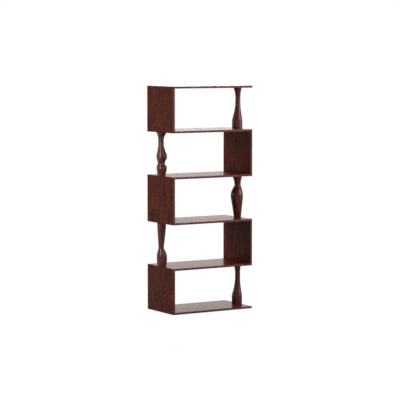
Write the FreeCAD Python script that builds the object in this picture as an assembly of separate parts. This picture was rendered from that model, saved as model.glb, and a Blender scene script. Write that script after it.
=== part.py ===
"""Spine bookshelf: six shelves stacked in five open tiers.

The boards form one ribbon that folds from side to side: a side panel closes the left of the
first, third and fifth tiers and the right of the second and fourth. A turned column with a
shallower outer side carries the open end of each tier.

Frame: millimetres, +X to the right seen from the front, +Y to the back, +Z up, with the
origin at the middle of the footprint on the floor.
"""
import FreeCAD, Part
import math
import os

Vector = FreeCAD.Vector

# Overall sizes
HEIGHT = 2032.0
WIDTH = 833.0
DEPTH = 464.0

# Boards
BOARD = 19.0                # thickness of every shelf and side panel
ARRIS = 1.2                 # radius on the long edges of the boards
END_TIER_CLEAR = 375.5      # clear height of the top and bottom tiers; the rest share what is left

# Mitred corners, each with a loose spline across the joint
SPLINE_THICKNESS = 4.0
SPLINE_WIDTH = 11.0
SPLINE_INSET = 12.0         # from the inside corner to the spline's middle, along the mitre
SPLINE_STOP = 30.0          # from the front and back edges to the ends of the spline
SPLINE_END_ROOM = 0.5       # glue room at the spline's edges and ends

# Columns
COLUMN_DEPTH_RATIO = 1.15   # how far a column reaches inwards from its axis, over half its width
COLUMN_CROWN_RATIO = 0.47   # how far its shallow outer side reaches out, over half its width
COLUMN_INSET = 2.0          # from the end of the shelf to the column's axis

# Dowels between the columns and the shelves
DOWEL_RADIUS = 4.0
DOWEL_CLEARANCE = 0.1       # radial glue room
DOWEL_END_ROOM = 0.5        # glue room at each end
DOWEL_CHAMFER = 0.8
DOWEL_IN_SHELF = 11.5
DOWEL_IN_COLUMN = 18.5
DOWEL_SPACING = 44.0        # front to back
DOWEL_INSET = 24.0          # from the end of the shelf

# Turned outlines, from the foot up. Each run is smooth, and two runs meet at a crease or at
# an extreme. A point is (share of the column's height, half width), and a third value of
# UPRIGHT makes the outline vertical there.
UPRIGHT = 0.0
BELL = (
    ((0.0, 54.2), (0.192, 54.2)),
    ((0.192, 54.2), (0.288, 46.0), (0.434, 34.2), (0.573, 27.8), (0.706, 26.1, UPRIGHT),
     (0.831, 28.5), (0.919, 34.8), (1.0, 46.6)),
)
DOUBLE_BULB = (
    ((0.0, 42.6), (0.093, 48.2), (0.190, 54.2, UPRIGHT)),
    ((0.190, 54.2, UPRIGHT), (0.234, 47.7), (0.283, 37.3, UPRIGHT)),
    ((0.283, 37.3, UPRIGHT), (0.350, 44.2), (0.442, 55.9, UPRIGHT)),
    ((0.442, 55.9, UPRIGHT), (0.535, 46.6), (0.617, 36.3), (0.789, 28.8, UPRIGHT)),
    ((0.789, 28.8, UPRIGHT), (0.882, 31.8), (0.946, 41.8), (1.0, 55.4)),
)
URN = (
    ((0.0, 38.2), (0.162, 46.4), (0.306, 54.7), (0.424, 62.0), (0.512, 64.5, UPRIGHT),
     (0.614, 57.2), (0.674, 47.6), (0.728, 35.0)),
    ((0.728, 35.0), (0.779, 33.4, UPRIGHT), (0.835, 35.5), (0.923, 44.6), (1.0, 52.2)),
)
PEAR = (
    ((0.0, 45.8), (0.098, 51.8), (0.198, 54.3, UPRIGHT), (0.298, 49.6), (0.344, 42.1),
     (0.419, 27.6)),
    ((0.419, 27.6), (0.900, 45.6)),
    ((0.900, 45.6), (1.0, 47.0)),
)

LEFT, RIGHT = -1, 1
UP, DOWN = 1, -1

# Tiers from the top: the side that its panel closes, and the outline of its column
TIERS = (
    (LEFT, BELL),
    (RIGHT, DOUBLE_BULB),
    (LEFT, URN),
    (RIGHT, PEAR),
    (LEFT, BELL),
)

SIDE_NAMES = {LEFT: "left", RIGHT: "right"}
SHELF_NAMES = ("top_shelf", "shelf_2", "shelf_3", "shelf_4", "shelf_5", "bottom_shelf")

END_X = WIDTH / 2
MIDDLE_TIERS = len(TIERS) - 2
MIDDLE_TIER_CLEAR = (HEIGHT - len(SHELF_NAMES) * BOARD - 2 * END_TIER_CLEAR) / MIDDLE_TIERS


def clear_height(tier):
    """Room between the two shelves of a tier, counted from the top."""
    return END_TIER_CLEAR if tier in (0, len(TIERS) - 1) else MIDDLE_TIER_CLEAR


def shelf_top(shelf):
    """Height of a shelf's upper face, counted from the top."""
    return HEIGHT - sum(BOARD + clear_height(tier) for tier in range(shelf))


def eased_box(low, high):
    """A board with every edge rounded to the arris radius."""
    size = high - low
    box = Part.makeBox(size.x, size.y, size.z, low)
    return box.makeFillet(ARRIS, box.Edges)


def prism_along_y(points, low_y, high_y):
    """Extrude an (x, z) outline from low_y to high_y."""
    corners = [Vector(x, low_y, z) for x, z in points]
    face = Part.Face(Part.makePolygon(corners + corners[:1]))
    return face.extrude(Vector(0, high_y - low_y, 0))


class Mitre:
    """The corner where a panel meets a shelf.

    side is the end of the shelf, and way says whether the panel stands UP from the shelf or
    hangs DOWN from it. The joint's plane runs from the inside corner to the outside one.
    """

    def __init__(self, shelf, side, way):
        self.side = side
        self.way = way
        top = shelf_top(shelf)
        self.outer_z = top if way == DOWN else top - BOARD
        self.inner_z = self.outer_z + way * BOARD
        self.outer_x = side * END_X
        self.inner_x = self.outer_x - side * BOARD

    def waste(self, of_shelf):
        """What is sawn off the shelf, or off the panel, at this corner."""
        outside = (self.outer_x + self.side * BOARD, self.outer_z - self.way * BOARD)
        inside = (self.inner_x - self.side * BOARD, self.inner_z + self.way * BOARD)
        if of_shelf:
            square_corner = (outside[0], inside[1])
        else:
            square_corner = (inside[0], outside[1])
        return prism_along_y((outside, inside, square_corner), -DEPTH, DEPTH)

    def tongue(self, room):
        """The spline, or with room its groove."""
        diagonal = math.sqrt(0.5)
        along = Vector(self.side * diagonal, 0, -self.way * diagonal)
        across = Vector(self.side * diagonal, 0, self.way * diagonal)
        middle = Vector(self.inner_x, 0, self.inner_z) + along * SPLINE_INSET
        half_width = SPLINE_WIDTH / 2 + room
        corners = []
        for way_along, way_across in ((-1, -1), (1, -1), (1, 1), (-1, 1)):
            corner = middle + along * (way_along * SPLINE_THICKNESS / 2)
            corner = corner + across * (way_across * half_width)
            corners.append((corner.x, corner.z))
        end_y = DEPTH / 2 - SPLINE_STOP + room
        return prism_along_y(corners, -end_y, end_y)


def corners_of_tier(tier):
    """The mitres at the top and the bottom of a tier's panel."""
    side = TIERS[tier][0]
    return Mitre(tier, side, DOWN), Mitre(tier + 1, side, UP)


def column_side(tier):
    return -TIERS[tier][0]


def dowel_places(tier):
    """Axis of each dowel of a tier's column."""
    x = column_side(tier) * (END_X - DOWEL_INSET)
    return [(x, y) for y in (-DOWEL_SPACING / 2, DOWEL_SPACING / 2)]


def dowel_holes(tier):
    """Drillings for a tier's dowels, through the joint faces at its foot and head."""
    foot = shelf_top(tier + 1)
    head = foot + clear_height(tier)
    in_shelf = DOWEL_IN_SHELF + DOWEL_END_ROOM
    in_column = DOWEL_IN_COLUMN + DOWEL_END_ROOM
    radius = DOWEL_RADIUS + DOWEL_CLEARANCE
    holes = []
    for x, y in dowel_places(tier):
        holes.append(Part.makeCylinder(radius, in_shelf + in_column, Vector(x, y, foot - in_shelf)))
        holes.append(Part.makeCylinder(radius, in_shelf + in_column, Vector(x, y, head - in_column)))
    return holes


def make_dowels(tier):
    """The four dowels of a tier's column, as separate solids."""
    foot = shelf_top(tier + 1)
    head = foot + clear_height(tier)
    length = DOWEL_IN_SHELF + DOWEL_IN_COLUMN
    dowels = []
    for x, y in dowel_places(tier):
        for low in (foot - DOWEL_IN_SHELF, head - DOWEL_IN_COLUMN):
            peg = Part.makeCylinder(DOWEL_RADIUS, length, Vector(x, y, low))
            rims = [edge for edge in peg.Edges if len(edge.Vertexes) == 1]
            dowels.append(peg.makeChamfer(DOWEL_CHAMFER, rims))
    return Part.makeCompound(dowels)


def make_shelf(shelf):
    top = shelf_top(shelf)
    board = eased_box(Vector(-END_X, -DEPTH / 2, top - BOARD), Vector(END_X, DEPTH / 2, top))
    for tier in (shelf - 1, shelf):
        if tier not in range(len(TIERS)):
            continue
        mitre = corners_of_tier(tier)[shelf - tier]
        board = board.cut([mitre.waste(of_shelf=True), mitre.tongue(SPLINE_END_ROOM)])
        board = board.cut(dowel_holes(tier))
    return board


def make_panel(tier):
    upper, lower = corners_of_tier(tier)
    low_x, high_x = sorted((upper.outer_x, upper.inner_x))
    board = eased_box(Vector(low_x, -DEPTH / 2, lower.outer_z), Vector(high_x, DEPTH / 2, upper.outer_z))
    for mitre in (upper, lower):
        board = board.cut([mitre.waste(of_shelf=False), mitre.tongue(SPLINE_END_ROOM)])
    return board


def outline_edge(run, height):
    """One smooth run of a turned outline, in the plane X = 0."""
    points = [Vector(0, point[1], point[0] * height) for point in run]
    if len(points) == 2:
        return Part.makeLine(*points)
    upright = [len(point) == 3 for point in run]
    curve = Part.BSplineCurve()
    curve.interpolate(Points=points, Tangents=[Vector(0, 0, 1)] * len(points), TangentFlags=upright,
                      Scale=True)
    return curve.toShape()


def column_half(profile, ratio):
    """Half a turning about Z, stretched along X by ratio, whose sign says to which side."""
    round_half = profile.revolve(Vector(0, 0, 0), Vector(0, 0, 1), 180)
    stretch = FreeCAD.Matrix()
    stretch.A11 = -ratio
    return round_half.transformGeometry(stretch)


def make_column(tier):
    """A turning that is full and round inwards and shallow outwards."""
    side = column_side(tier)
    height = clear_height(tier)
    outline = [outline_edge(run, height) for run in TIERS[tier][1]]
    foot, head = Vector(0, 0, 0), Vector(0, 0, height)
    foot_rim = outline[0].valueAt(outline[0].FirstParameter)
    head_rim = outline[-1].valueAt(outline[-1].LastParameter)
    rim = [Part.makeLine(foot, foot_rim)] + outline
    rim += [Part.makeLine(head_rim, head), Part.makeLine(head, foot)]
    profile = Part.Face(Part.Wire(rim))
    inner = column_half(profile, -side * COLUMN_DEPTH_RATIO)
    outer = column_half(profile, side * COLUMN_CROWN_RATIO)
    column = inner.fuse(outer)
    column.translate(Vector(side * (END_X - COLUMN_INSET), 0, shelf_top(tier + 1)))
    return column.cut(dowel_holes(tier))


def write(name, shape):
    solids = shape.Solids
    if not solids or not all(solid.isValid() for solid in solids):
        raise ValueError("not a valid solid: " + name)
    shape.exportStep(os.path.join("parts", name + ".step"))


os.makedirs("parts", exist_ok=True)

for shelf, name in enumerate(SHELF_NAMES):
    write(name, make_shelf(shelf))

for tier in range(len(TIERS)):
    number = str(tier + 1)
    write(SIDE_NAMES[TIERS[tier][0]] + "_panel_" + number, make_panel(tier))
    write(SIDE_NAMES[column_side(tier)] + "_column_" + number, make_column(tier))
    write("column_" + number + "_dowels", make_dowels(tier))
    for place, mitre in zip(("upper", "lower"), corners_of_tier(tier)):
        write("panel_" + number + "_" + place + "_spline", mitre.tongue(0.0))
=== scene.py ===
"""Finish and studio for a spine bookshelf: a folded ribbon of boards with a turned column per tier.

Metres, +X to the right seen from the front, +Y to the back, +Z up. The construction comes packed,
and this file gives its boards, columns, dowels and splines their wood, and sets up the studio.
"""
import math

import bpy
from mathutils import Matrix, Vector


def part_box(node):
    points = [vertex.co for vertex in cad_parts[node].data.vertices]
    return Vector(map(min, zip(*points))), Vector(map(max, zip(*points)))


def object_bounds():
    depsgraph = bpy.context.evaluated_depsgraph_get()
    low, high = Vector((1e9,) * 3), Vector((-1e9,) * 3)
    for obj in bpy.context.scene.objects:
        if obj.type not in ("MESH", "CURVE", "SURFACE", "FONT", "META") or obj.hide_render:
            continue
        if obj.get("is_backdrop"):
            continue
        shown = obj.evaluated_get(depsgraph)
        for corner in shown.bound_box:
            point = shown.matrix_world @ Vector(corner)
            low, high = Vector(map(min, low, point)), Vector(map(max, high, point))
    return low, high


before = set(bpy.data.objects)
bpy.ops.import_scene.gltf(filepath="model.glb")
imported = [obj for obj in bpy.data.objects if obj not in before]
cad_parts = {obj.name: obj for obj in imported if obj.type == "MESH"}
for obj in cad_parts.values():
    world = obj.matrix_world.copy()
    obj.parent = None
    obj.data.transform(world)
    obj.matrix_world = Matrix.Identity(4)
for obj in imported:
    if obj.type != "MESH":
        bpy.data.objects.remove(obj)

bl_info = {
    "name": "Spine Bookshelf",
    "version": (1, 0, 0),
    "blender": (4, 5, 0),
    "location": "3D View > Sidebar > Bookshelf",
    "description": "Finishes a folded bookshelf with turned columns and lights it in a studio",
    "category": "Object",
}

MM = 0.001

# The ribbon of boards from the top: shelf, panel, shelf and so on down to the bottom shelf
SHELVES = ("top_shelf", "shelf_2", "shelf_3", "shelf_4", "shelf_5", "bottom_shelf")
PANELS = ("left_panel_1", "right_panel_2", "left_panel_3", "right_panel_4", "left_panel_5")
COLUMNS = ("right_column_1", "left_column_2", "right_column_3", "left_column_4", "right_column_5")


# Settings

def stain_colour(name, description, default):
    return bpy.props.FloatVectorProperty(
        name=name, description=description, default=default, size=3, subtype="COLOR", min=0.0, max=1.0)


def share(name, description, default):
    return bpy.props.FloatProperty(
        name=name, description=description, default=default, subtype="FACTOR", min=0.0, max=1.0)


def length(name, description, default):
    return bpy.props.FloatProperty(
        name=name, description=description, default=default, subtype="DISTANCE", unit="LENGTH", min=0.0)


def strength(name, description, default):
    return bpy.props.FloatProperty(name=name, description=description, default=default, min=0.0)


class WoodSettings(bpy.types.PropertyGroup):
    red: stain_colour(
        "Red", "Stain of the boards where the wood takes it well", (0.196, 0.0242, 0.0069))
    brown: stain_colour(
        "Brown", "Stain on the boards' dense dark lines", (0.0262, 0.0047, 0.0019))
    turned_red: stain_colour(
        "Turned red", "Stain of the columns where the wood takes it well", (0.1550, 0.0250, 0.0097))
    turned_brown: stain_colour(
        "Turned brown", "Stain on the columns' dense dark lines", (0.0469, 0.0081, 0.0034))
    pale: stain_colour("Pale", "Open, light figure in the stained wood", (0.0937, 0.0281, 0.0187))
    # Colour of the lipping and of the rubbed arrises. On the lipping its paleness is also painted sheen,
    # standing in for the light that the front edges catch.
    worn_and_sheen: stain_colour(
        "Worn", "Lipping and arrises, where the stain is rubbed back", (0.1287, 0.0469, 0.0350))
    pore: stain_colour("Pore", "Stain gathered in the pores", (0.0112, 0.0037, 0.0025))
    bare: stain_colour("Bare", "Unstained beech of dowels and splines", (0.62, 0.43, 0.26))
    board_roughness: share("Board roughness", "Sheen of the boards, from mirror to matt", 0.22)
    column_roughness: share("Column roughness", "Sheen of the turned columns", 0.18)
    # The lipping is a pale strip on the long edges: partly real lipping, partly painted sheen on the
    # front edges.
    lipping_and_sheen: length("Lipping And Sheen", "Width of the pale lipping on the boards' long edges", 2.5 * MM)


class StageSettings(bpy.types.PropertyGroup):
    floor_radius: length("Floor radius", "Half the width of the studio floor", 30.0)
    floor: stain_colour("Floor", "Colour of the studio floor", (0.26, 0.26, 0.26))
    world_light: strength("World light", "Strength of the light from all round", 0.048)
    key_light: strength("Key light", "Brightness of the high front softbox, where 1 is white", 12.2)
    fill_light: strength("Fill light", "Brightness of the low front softbox, where 1 is white", 2.9)
    side_light: strength("Side light", "Brightness of the left softbox, where 1 is white", 11.8)
    back_light: strength("Back light", "Brightness of the softbox behind, where 1 is white", 22.4)
    low_light: strength("Low light", "Brightness of the low softbox behind, where 1 is white", 0.32)
    right_light: strength("Right light", "Brightness of the right softbox, where 1 is white", 3.5)


# Node trees

NODE_STEP_X, NODE_STEP_Y = 190, 170
MIX_FACTOR, MIX_FIRST, MIX_SECOND, MIX_RESULT = 0, 6, 7, 2    # colour sockets of a Mix node, by number


class Tree:
    """Adds nodes to a node tree, links them and lays them out by depth."""

    def __init__(self, node_tree):
        self.nodes = node_tree.nodes
        self.links = node_tree.links
        self.depth = {}
        self.rows = {}

    def place(self, node, values):
        """Lay out a node to the right of all that feed it, below the others at its depth."""
        sources = [value.node for value in values if isinstance(value, bpy.types.NodeSocket)]
        depth = 1 + max((self.depth.get(source.name, 0) for source in sources), default=0)
        row = self.rows.get(depth, 0)
        self.rows[depth] = row + 1
        self.depth[node.name] = depth
        node.location = (NODE_STEP_X * depth, -NODE_STEP_Y * row)

    def place_last(self, *names):
        """Lay out the named nodes, one after the other, to the right of all that were added."""
        depth = max(self.depth.values())
        for name in names:
            depth += 2
            self.nodes[name].location = (NODE_STEP_X * depth, 0)

    def add(self, kind, inputs=(), **settings):
        """A node of a kind; inputs maps socket names or numbers to values or to sockets."""
        node = self.nodes.new(kind)
        for key, value in settings.items():
            setattr(node, key, value)
        inputs = dict(inputs)
        for key, value in inputs.items():
            if isinstance(value, bpy.types.NodeSocket):
                self.links.new(value, node.inputs[key])
            else:
                node.inputs[key].default_value = value
        self.place(node, inputs.values())
        return node

    def math(self, operation, first, second=0.0, clamp=False):
        node = self.add("ShaderNodeMath", {0: first, 1: second}, operation=operation, use_clamp=clamp)
        return node.outputs[0]

    def times(self, first, second):
        return self.math("MULTIPLY", first, second)

    def hypotenuse(self, first, second):
        """Length of the diagonal of a rectangle with these sides."""
        return self.math("SQRT", self.math("ADD", self.times(first, first), self.times(second, second)))

    def vector(self, operation, first, second):
        return self.add("ShaderNodeVectorMath", {0: first, 1: second}, operation=operation).outputs[0]

    def split(self, vector):
        """The X, Y and Z of a vector."""
        return self.add("ShaderNodeSeparateXYZ", {0: vector}).outputs

    def ramp(self, value, low, high, to_low=0.0, to_high=1.0):
        """value from low..high to to_low..to_high, smooth and held at both ends."""
        node = self.add(
            "ShaderNodeMapRange",
            {"Value": value, "From Min": low, "From Max": high, "To Min": to_low, "To Max": to_high},
            interpolation_type="SMOOTHSTEP")
        return node.outputs[0]

    def noise(self, vector, detail=2.0, roughness=0.5):
        node = self.add(
            "ShaderNodeTexNoise",
            {"Vector": vector, "Scale": 1.0, "Detail": detail, "Roughness": roughness})
        return node.outputs[0]

    def mix(self, factor, first, second):
        """Two colours, each a socket or plain numbers: first where factor is 0, second where it is 1."""
        first, second = (
            colour if isinstance(colour, bpy.types.NodeSocket) else (*colour, 1.0)
            for colour in (first, second))
        node = self.add(
            "ShaderNodeMix", {MIX_FACTOR: factor, MIX_FIRST: first, MIX_SECOND: second},
            data_type="RGBA")
        return node.outputs[MIX_RESULT]

    def layer(self, colour, mask, amount, over):
        """colour with an amount of over laid on it where the mask is."""
        return self.mix(self.times(mask, amount), colour, over)

    def group(self, group, inputs):
        return self.add("ShaderNodeGroup", inputs, node_tree=group).outputs


# Shared effects

STREAK_DETAIL, STREAK_ROUGHNESS = 3.0, 0.55
RING_WANDER_PACE = (1.3, 7.0, 7.0)       # waves per metre along, across and through the grain
RING_DARKENS = (0.25, 0.9)               # of a ring's width, from pale early wood to late wood
RING_ENDS = (0.93, 1.0)                  # of a ring's width, from late wood back to the next ring's pale
GLUE_LINE = (0.492, 0.498)               # of a stave's width from its middle, from wood to glue line
WEAR_PACE = (40.0, 150.0, 150.0)         # patches per metre along, across and through the grain
WEAR_DETAIL = 3.0
WEAR_PATCHES = (0.35, 0.65)              # levels of the noise, from none to full wear


def new_group(name, inputs, outputs):
    """The Tree of a new shader group, and its input sockets. An input with no default is a vector."""
    group = bpy.data.node_groups.new(name, "ShaderNodeTree")
    for socket, default in inputs.items():
        kind = "NodeSocketVector" if default is None else "NodeSocketFloat"
        made = group.interface.new_socket(socket, in_out="INPUT", socket_type=kind)
        if default is not None:
            made.default_value = default
    for socket in outputs:
        group.interface.new_socket(socket, in_out="OUTPUT", socket_type="NodeSocketFloat")
    tree = Tree(group)
    return tree, tree.add("NodeGroupInput").outputs


def build_streaks(name):
    """Long marks that follow the grain: noise stretched along X, as a mask."""
    tree, given = new_group(
        name, {"Vector": None, "Length": 0.1, "Width": 0.01, "Low": 0.4, "High": 0.6}, ("Mask",))
    pace_along = tree.math("DIVIDE", 1.0, given["Length"])
    pace_across = tree.math("DIVIDE", 1.0, given["Width"])
    pace = tree.add("ShaderNodeCombineXYZ", {"X": pace_along, "Y": pace_across, "Z": pace_across})
    stretched = tree.vector("MULTIPLY", given["Vector"], pace.outputs[0])
    noise = tree.noise(stretched, STREAK_DETAIL, STREAK_ROUGHNESS)
    tree.add("NodeGroupOutput", {"Mask": tree.ramp(noise, given["Low"], given["High"])})


def build_rings(name):
    """Growth rings of a sawn board: pale early wood that darkens to a sharp late-wood line."""
    tree, given = new_group(
        name,
        {"Vector": None, "Pith Across": 0.0, "Pith Depth": 0.1, "Ring Width": 0.004, "Wander": 0.02},
        ("Late Wood",))
    parts = tree.split(given["Vector"])
    wander = tree.noise(tree.vector("MULTIPLY", given["Vector"], RING_WANDER_PACE))
    wander = tree.times(tree.math("SUBTRACT", wander, 0.5), given["Wander"])
    across = tree.math("SUBTRACT", parts["Y"], given["Pith Across"])
    depth = tree.math("ADD", parts["Z"], given["Pith Depth"])
    radius = tree.math("ADD", tree.hypotenuse(across, depth), wander)
    age = tree.math("FRACT", tree.math("DIVIDE", radius, given["Ring Width"]))
    late = tree.times(tree.ramp(age, *RING_DARKENS), tree.ramp(age, *RING_ENDS, 1.0, 0.0))
    tree.add("NodeGroupOutput", {"Late Wood": late})


def build_staves(name):
    """Boards glued up from staves side by side: a tone for each, and the glue lines between them."""
    tree, given = new_group(name, {"Vector": None, "Stave Width": 0.093, "Seed": 0.0}, ("Tone", "Line"))
    across = tree.split(given["Vector"])["Y"]
    count = tree.math("DIVIDE", across, given["Stave Width"])
    pick = tree.add("ShaderNodeCombineXYZ", {"X": tree.math("FLOOR", count), "Y": given["Seed"]})
    tone = tree.add(
        "ShaderNodeTexWhiteNoise", {"Vector": pick.outputs[0]}, noise_dimensions="3D").outputs["Value"]
    from_middle = tree.math("ABSOLUTE", tree.math("SUBTRACT", tree.math("FRACT", count), 0.5))
    tree.add("NodeGroupOutput", {"Tone": tone, "Line": tree.ramp(from_middle, *GLUE_LINE)})


def build_edges(name):
    """Wear along the long arrises of a board, and the lipping on its long edges, whose paleness is
    partly painted sheen.
    """
    tree, given = new_group(
        name,
        {"Vector": None, "Half Depth": 0.2, "Half Thickness": 0.01, "Lipping And Sheen": 0.0025, "Reach": 0.003},
        ("Wear", "Lipping And Sheen"))
    parts = tree.split(given["Vector"])
    from_edge = tree.math("SUBTRACT", given["Half Depth"], tree.math("ABSOLUTE", parts["Y"]))
    from_core = tree.math("ABSOLUTE", tree.math("SUBTRACT", parts["Z"], given["Half Thickness"]))
    from_face = tree.math("SUBTRACT", given["Half Thickness"], from_core)
    away = tree.math("DIVIDE", tree.hypotenuse(from_edge, from_face), given["Reach"])
    patches = tree.noise(tree.vector("MULTIPLY", given["Vector"], WEAR_PACE), WEAR_DETAIL)
    wear = tree.times(tree.ramp(away, 1.0, 0.0), tree.ramp(patches, *WEAR_PATCHES))
    lipping_and_sheen = tree.math("LESS_THAN", from_edge, given["Lipping And Sheen"])
    tree.add("NodeGroupOutput", {"Wear": wear, "Lipping And Sheen": lipping_and_sheen})


EFFECTS = {
    "Grain Streaks": build_streaks,
    "Growth Rings": build_rings,
    "Staves": build_staves,
    "Board Edges": build_edges,
}


def shared_groups():
    """The shader groups by name, each built the first time that they are asked for."""
    for name, build in EFFECTS.items():
        if name not in bpy.data.node_groups:
            build(name)
    return bpy.data.node_groups


# Wood

# Marks along the grain: length and width in metres, and the levels of the noise at which a mark
# begins and is full
BROAD_FIGURE = {"Length": 0.42, "Width": 0.075, "Low": 0.38, "High": 0.62}
DARK_LINES = {"Length": 0.26, "Width": 0.0074, "Low": 0.45, "High": 0.55}
FLECKS = {"Length": 0.034, "Width": 0.0050, "Low": 0.46, "High": 0.56}
FIBRE = {"Length": 0.055, "Width": 0.0022, "Low": 0.3, "High": 0.7}
PORES = {"Length": 0.016, "Width": 0.0009}
PORE_LEVEL = 0.60            # where a pore begins between the flecks
PORE_LEVEL_DROP = 0.14       # how much lower it begins in the flecks
PORE_SOFTNESS = 0.06         # from where it begins to where it is full
PITH = {"Pith Across": 0.03, "Pith Depth": 0.06}

# How strongly each mark colours the wood, from 0 to 1
BROAD_AMOUNT = 0.12
BOARD_FLECK_AMOUNT, COLUMN_FLECK_AMOUNT = 0.78, 0.25
RING_AMOUNT = 0.15
FIBRE_AMOUNT = 0.25
PORE_AMOUNT = 0.7
STAVE_TONE_AMOUNT = 0.12
GLUE_LINE_AMOUNT = 0.5
LIPPING_AND_SHEEN_STAIN_AMOUNT = 0.3   # of the boards' red, in the lipping's broad figure; the lipping's paleness is partly painted sheen
WEAR_AMOUNT = 0.45

# What the marks do to the surface, and how strongly the finish mirrors
PORE_ROUGHNESS, FIBRE_ROUGHNESS = 0.015, 0.008
PORE_HEIGHT, FIBRE_HEIGHT = -1.0, -0.35      # times the relief
RELIEF = 0.05 * MM
RELIEF_AMOUNT = 0.03
BOARD_IOR, COLUMN_IOR = 1.10, 1.27

BEECH_FLECKS = {"Length": 0.004, "Width": 0.0007, "Low": 0.58, "High": 0.66}
BEECH_FIBRE = {"Length": 0.03, "Width": 0.0015}
BEECH_FLECK_TONE, BEECH_FIBRE_TONE = 0.45, 0.7    # times the bare colour
BEECH_FLECK_AMOUNT, BEECH_FIBRE_AMOUNT = 0.8, 0.35
BEECH_ROUGHNESS = 0.6


def new_material(name):
    """A material, its Tree and its Principled shader."""
    material = bpy.data.materials.new(name)
    material.use_nodes = True
    tree = Tree(material.node_tree)
    return material, tree, tree.nodes["Principled BSDF"]


def grain_space(tree, turn, offset):
    """Object coordinates turned so that X runs along the grain, Y across it and Z through it."""
    place = tree.add("ShaderNodeTexCoord").outputs["Object"]
    mapping = tree.add(
        "ShaderNodeMapping", {"Vector": place, "Location": offset, "Rotation": (0.0, turn, 0.0)})
    return mapping.outputs[0]


def wood_figure(tree, streaks, grain):
    """The masks that every stained piece shares: broad figure, dark lines, flecks, fibre and pores.

    The pores stand thick in the flecks, with few between them.
    """
    broad, lines, flecks, fibre = (
        tree.group(streaks, {"Vector": grain, **marks})[0]
        for marks in (BROAD_FIGURE, DARK_LINES, FLECKS, FIBRE))
    pore_low = tree.math("SUBTRACT", PORE_LEVEL, tree.times(flecks, PORE_LEVEL_DROP))
    pore_high = tree.math("ADD", pore_low, PORE_SOFTNESS)
    pores = tree.group(streaks, {"Vector": grain, **PORES, "Low": pore_low, "High": pore_high})[0]
    return broad, lines, flecks, fibre, pores


def board_making(tree, colour, grain, broad, wood, groups, seed):
    """colour with what a board has and a column hasn't: staves, a pale lipping that is partly painted
    sheen on the front edges, and rubbed arrises.
    """
    stave = tree.group(groups["Staves"], {"Vector": grain, "Seed": seed})
    colour = tree.layer(colour, stave["Tone"], STAVE_TONE_AMOUNT, wood.pale)
    colour = tree.layer(colour, stave["Line"], GLUE_LINE_AMOUNT, wood.pore)
    low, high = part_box(SHELVES[0])
    edges = tree.group(groups["Board Edges"], {
        "Vector": grain, "Half Depth": (high.y - low.y) / 2, "Half Thickness": (high.z - low.z) / 2,
        "Lipping And Sheen": wood.lipping_and_sheen})
    # Painted sheen: the lipping's pale colour also stands in for the light that the front edges catch.
    lipping_and_sheen = tree.layer(wood.worn_and_sheen, broad, LIPPING_AND_SHEEN_STAIN_AMOUNT, wood.red)
    colour = tree.mix(edges["Lipping And Sheen"], colour, lipping_and_sheen)
    return tree.layer(colour, edges["Wear"], WEAR_AMOUNT, wood.worn_and_sheen)


def stained_wood(name, turn, offset, is_board, wood, groups, seed=0.0):
    """Stained, satin wood for a board or a turned column. seed picks the tones of a board's staves."""
    material, tree, shader = new_material(name)
    grain = grain_space(tree, turn, offset)
    broad, lines, flecks, fibre, pores = wood_figure(tree, groups["Grain Streaks"], grain)
    rings = tree.group(groups["Growth Rings"], {"Vector": grain, **PITH})[0]

    red, brown = (wood.red, wood.brown) if is_board else (wood.turned_red, wood.turned_brown)
    fleck_amount = BOARD_FLECK_AMOUNT if is_board else COLUMN_FLECK_AMOUNT
    colour = tree.mix(lines, red, brown)
    colour = tree.layer(colour, broad, BROAD_AMOUNT, wood.pale)
    colour = tree.layer(colour, flecks, fleck_amount, wood.pore)
    colour = tree.layer(colour, rings, RING_AMOUNT, brown)
    colour = tree.layer(colour, fibre, FIBRE_AMOUNT, brown)
    if is_board:
        colour = board_making(tree, colour, grain, broad, wood, groups, seed)
    colour = tree.layer(colour, pores, PORE_AMOUNT, wood.pore)
    tree.links.new(colour, shader.inputs["Base Color"])

    sheen = wood.board_roughness if is_board else wood.column_roughness
    rough = tree.math("ADD", tree.times(pores, PORE_ROUGHNESS), tree.times(fibre, FIBRE_ROUGHNESS))
    tree.links.new(tree.math("ADD", rough, sheen), shader.inputs["Roughness"])
    height = tree.math("ADD", tree.times(pores, PORE_HEIGHT), tree.times(fibre, FIBRE_HEIGHT))
    bump = tree.add(
        "ShaderNodeBump", {"Height": height, "Distance": RELIEF, "Strength": RELIEF_AMOUNT})
    tree.links.new(bump.outputs[0], shader.inputs["Normal"])
    shader.inputs["IOR"].default_value = BOARD_IOR if is_board else COLUMN_IOR
    tree.place_last("Principled BSDF", "Material Output")
    return material


def bare_wood(name, turn, wood, groups):
    """Unstained beech: pale, with short brown flecks."""
    material, tree, shader = new_material(name)
    grain = grain_space(tree, turn, (0.0, 0.0, 0.0))
    flecks, fibre = (
        tree.group(groups["Grain Streaks"], {"Vector": grain, **marks})[0]
        for marks in (BEECH_FLECKS, BEECH_FIBRE))
    fleck_colour, fibre_colour = (
        [part * tone for part in wood.bare] for tone in (BEECH_FLECK_TONE, BEECH_FIBRE_TONE))
    colour = tree.layer(wood.bare, fibre, BEECH_FIBRE_AMOUNT, fibre_colour)
    colour = tree.layer(colour, flecks, BEECH_FLECK_AMOUNT, fleck_colour)
    tree.links.new(colour, shader.inputs["Base Color"])
    shader.inputs["Roughness"].default_value = BEECH_ROUGHNESS
    tree.place_last("Principled BSDF", "Material Output")
    return material


def give(node, material):
    """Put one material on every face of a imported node."""
    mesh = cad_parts[node].data
    mesh.materials.clear()
    mesh.materials.append(material)


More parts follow.
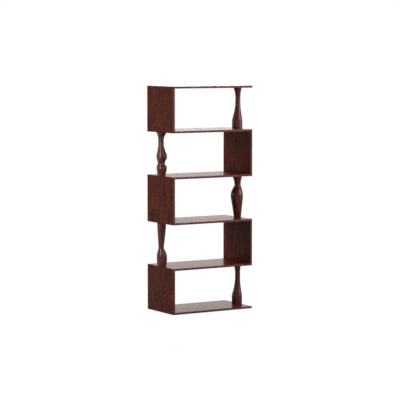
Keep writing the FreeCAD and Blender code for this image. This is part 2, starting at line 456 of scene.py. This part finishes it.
def ribbon():
    """Turn and offset of the grain for each board, so that it runs on round every fold.

    Along the ribbon X grows from the free end of the top shelf. Z grows through the board from
    the face that is the top of the top shelf.
    """
    places = {}
    run = 0.0
    for tier, shelf in enumerate(SHELVES):
        low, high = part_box(shelf)
        goes_left = tier % 2 == 0
        if goes_left:
            places[shelf] = (math.pi, Vector((run + high.x, 0.0, high.z)))
        else:
            places[shelf] = (0.0, Vector((run - low.x, 0.0, -low.z)))
        run += high.x - low.x
        if tier < len(PANELS):
            low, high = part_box(PANELS[tier])
            places[PANELS[tier]] = (-math.pi / 2, Vector((run + high.z, 0.0, -low.x)))
            run += high.z - low.z
    return places


def finish_boards(wood, boards):
    """Stain some boards of the ribbon, each with staves of its own tones."""
    places = ribbon()
    groups = shared_groups()
    for seed, board in enumerate(boards):
        turn, offset = places[board]
        give(board, stained_wood(board + " wood", turn, offset, True, wood, groups, seed))


# Operators for the pieces

class SPINE_OT_finish_shelves(bpy.types.Operator):
    """Stain the six shelves, with the grain along them"""
    bl_idname = "spine_bookshelf.finish_shelves"
    bl_label = "Finish Shelves"

    def execute(self, context):
        finish_boards(context.scene.spine_wood, SHELVES)
        return {"FINISHED"}


class SPINE_OT_finish_panels(bpy.types.Operator):
    """Stain the five side panels, with the grain upright"""
    bl_idname = "spine_bookshelf.finish_panels"
    bl_label = "Finish Side Panels"

    def execute(self, context):
        finish_boards(context.scene.spine_wood, PANELS)
        return {"FINISHED"}


class SPINE_OT_finish_columns(bpy.types.Operator):
    """Stain and polish the five turned columns"""
    bl_idname = "spine_bookshelf.finish_columns"
    bl_label = "Finish Columns"

    def execute(self, context):
        wood = context.scene.spine_wood
        groups = shared_groups()
        for column in COLUMNS:
            low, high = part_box(column)
            offset = Vector((high.z, 0.0, -(low.x + high.x) / 2))
            give(column, stained_wood(column + " wood", -math.pi / 2, offset, False, wood, groups))
        return {"FINISHED"}


class SPINE_OT_finish_joinery(bpy.types.Operator):
    """Give the hidden dowels and splines their bare beech"""
    bl_idname = "spine_bookshelf.finish_joinery"
    bl_label = "Finish Joinery"

    def execute(self, context):
        wood = context.scene.spine_wood
        groups = shared_groups()
        upright = bare_wood("dowel beech", math.pi / 2, wood, groups)
        level = bare_wood("spline beech", 0.0, wood, groups)
        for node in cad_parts:
            if node.endswith("_dowels"):
                give(node, upright)
            elif node.endswith("_spline"):
                give(node, level)
        return {"FINISHED"}


# Stage

LAMP_WATTS = 4.0             # of each square metre of a softbox, at the brightness of white
LAMP_DISTANCE = 4.5          # from the middle of the bookshelf

# Where each softbox stands, in degrees from the front towards the right and up, and its size in metres
SOFTBOXES = {
    "key": {"azimuth": 15.0, "elevation": 27.0, "width": 1.2, "height": 3.2},
    "fill": {"azimuth": 19.0, "elevation": 4.0, "width": 0.9, "height": 2.0},
    "side": {"azimuth": -107.0, "elevation": 15.0, "width": 1.2, "height": 3.0},
    "back": {"azimuth": 145.0, "elevation": 42.0, "width": 2.0, "height": 2.4},
    "low": {"azimuth": 149.0, "elevation": -4.0, "width": 3.6, "height": 1.4},
    "right": {"azimuth": 72.0, "elevation": 14.0, "width": 1.6, "height": 2.4},
}

FLOOR_ROUGHNESS = 0.9
FLOOR_GLOW_SHARE = 0.92      # of the floor as it is seen. The rest is lit, and takes the shadow
FLOOR_GLOW = (1.06, 1.10)    # near the bookshelf, and far from it where no lamp reaches
FLOOR_GLOW_REACH = (2.5, 5.0)

CAMERA_PLACE = (-8.2622, -13.5881, 2.3561)
CAMERA_YAW = 31.306          # from +Y towards +X, degrees
CAMERA_PITCH = -4.894        # below level, degrees
CAMERA_LENS = 158.10         # millimetres, as the sensor is
CAMERA_SENSOR = 36.0
CAMERA_SIGHT = 100.0         # how far it sees, metres


def put_in_scene(name, data):
    """A new object in the scene, from its mesh, lamp or camera."""
    thing = bpy.data.objects.new(name, data)
    bpy.context.scene.collection.objects.link(thing)
    return thing


def softbox(name, target, azimuth, elevation, width, height, white):
    """A rectangular lamp that faces target. white is its brightness, where 1 is white paper's."""
    lamp = bpy.data.lights.new(name, "AREA")
    lamp.shape = "RECTANGLE"
    lamp.size, lamp.size_y = width, height
    lamp.energy = white * LAMP_WATTS * width * height
    holder = put_in_scene(name, lamp)
    turn, lift = math.radians(azimuth), math.radians(elevation)
    away = Vector((math.sin(turn) * math.cos(lift), -math.cos(turn) * math.cos(lift), math.sin(lift)))
    holder.location = target + away * LAMP_DISTANCE
    holder.rotation_euler = (-away).to_track_quat("-Z", "Y").to_euler()
    holder.visible_camera = False


def seen_directly(tree):
    """1 for rays from the camera, from gloss and through glass, and 0 for light that spreads."""
    path = tree.add("ShaderNodeLightPath").outputs
    seen = tree.math("ADD", path["Is Camera Ray"], path["Is Glossy Ray"], clamp=True)
    return tree.math("ADD", seen, path["Is Transmission Ray"], clamp=True)


def make_floor(stage):
    """A floor that is seen as white all round, and still takes the bookshelf's shadow."""
    mesh = bpy.data.meshes.new("floor")
    r = stage.floor_radius
    mesh.from_pydata([(-r, -r, 0), (r, -r, 0), (r, r, 0), (-r, r, 0)], [], [(0, 1, 2, 3)])
    floor = put_in_scene("floor", mesh)
    material, tree, shader = new_material("studio floor")
    shader.inputs["Base Color"].default_value = (*stage.floor, 1.0)
    shader.inputs["Roughness"].default_value = FLOOR_ROUGHNESS
    shader.inputs["Specular IOR Level"].default_value = 0.0
    place = tree.add("ShaderNodeTexCoord").outputs["Object"]
    away = tree.add("ShaderNodeVectorMath", {0: place}, operation="LENGTH").outputs["Value"]
    white = tree.add("ShaderNodeEmission", {"Strength": tree.ramp(away, *FLOOR_GLOW_REACH, *FLOOR_GLOW)})
    factor = tree.times(seen_directly(tree), FLOOR_GLOW_SHARE)
    mixed = tree.add("ShaderNodeMixShader", {0: factor, 1: shader.outputs[0], 2: white.outputs[0]})
    tree.links.new(mixed.outputs[0], tree.nodes["Material Output"].inputs["Surface"])
    tree.place_last("Material Output")
    mesh.materials.append(material)
    floor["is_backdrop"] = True


def make_world(scene, stage):
    """A world that is seen as white, and lights the bookshelf only a little."""
    world = bpy.data.worlds.new("studio")
    scene.world = world
    world.use_nodes = True
    tree = Tree(world.node_tree)
    background = tree.nodes["Background"]
    background.inputs["Color"].default_value = (1.0, 1.0, 1.0, 1.0)
    brightness = tree.ramp(seen_directly(tree), 0.0, 1.0, stage.world_light, 1.0)
    tree.links.new(brightness, background.inputs["Strength"])
    tree.place_last("Background", "World Output")


def make_camera(scene):
    camera = bpy.data.cameras.new("camera")
    camera.lens = CAMERA_LENS
    camera.sensor_width = CAMERA_SENSOR
    camera.clip_end = CAMERA_SIGHT
    holder = put_in_scene("camera", camera)
    holder.location = CAMERA_PLACE
    holder.rotation_euler = (math.radians(90.0 + CAMERA_PITCH), 0.0, math.radians(-CAMERA_YAW))
    scene.camera = holder


class SPINE_OT_set_stage(bpy.types.Operator):
    """Set up the floor, the world, the softboxes and the camera"""
    bl_idname = "spine_bookshelf.set_stage"
    bl_label = "Set Stage"

    def execute(self, context):
        stage = context.scene.spine_stage
        make_floor(stage)
        make_world(context.scene, stage)
        low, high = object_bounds()
        middle = (Vector(low) + Vector(high)) / 2
        for name, place in SOFTBOXES.items():
            softbox(name + " softbox", middle, white=getattr(stage, name + "_light"), **place)
        make_camera(context.scene)
        context.scene.view_settings.view_transform = "Standard"
        return {"FINISHED"}


# Panel and registration

class SPINE_PT_bookshelf(bpy.types.Panel):
    """Lists the bookshelf's settings and its operators"""
    bl_idname = "SPINE_PT_bookshelf"
    bl_label = "Spine Bookshelf"
    bl_space_type = "VIEW_3D"
    bl_region_type = "UI"
    bl_category = "Bookshelf"

    def draw(self, context):
        for settings in (context.scene.spine_wood, context.scene.spine_stage):
            box = self.layout.box()
            for name in settings.__annotations__:
                box.prop(settings, name)
        for operator in OPERATORS:
            self.layout.operator(operator.bl_idname)


OPERATORS = (
    SPINE_OT_finish_shelves,
    SPINE_OT_finish_panels,
    SPINE_OT_finish_columns,
    SPINE_OT_finish_joinery,
    SPINE_OT_set_stage,
)
CLASSES = (WoodSettings, StageSettings, *OPERATORS, SPINE_PT_bookshelf)


def register():
    for each in CLASSES:
        bpy.utils.register_class(each)
    bpy.types.Scene.spine_wood = bpy.props.PointerProperty(
        name="Wood", description="Stain and sheen of the bookshelf", type=WoodSettings)
    bpy.types.Scene.spine_stage = bpy.props.PointerProperty(
        name="Stage", description="Floor, light and camera", type=StageSettings)


def unregister():
    del bpy.types.Scene.spine_stage
    del bpy.types.Scene.spine_wood
    for each in reversed(CLASSES):
        bpy.utils.unregister_class(each)


def main():
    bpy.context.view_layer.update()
    register()
    for operator in OPERATORS:
        group, name = operator.bl_idname.split(".")
        getattr(getattr(bpy.ops, group), name)()


if __name__ == "__main__":
    main()
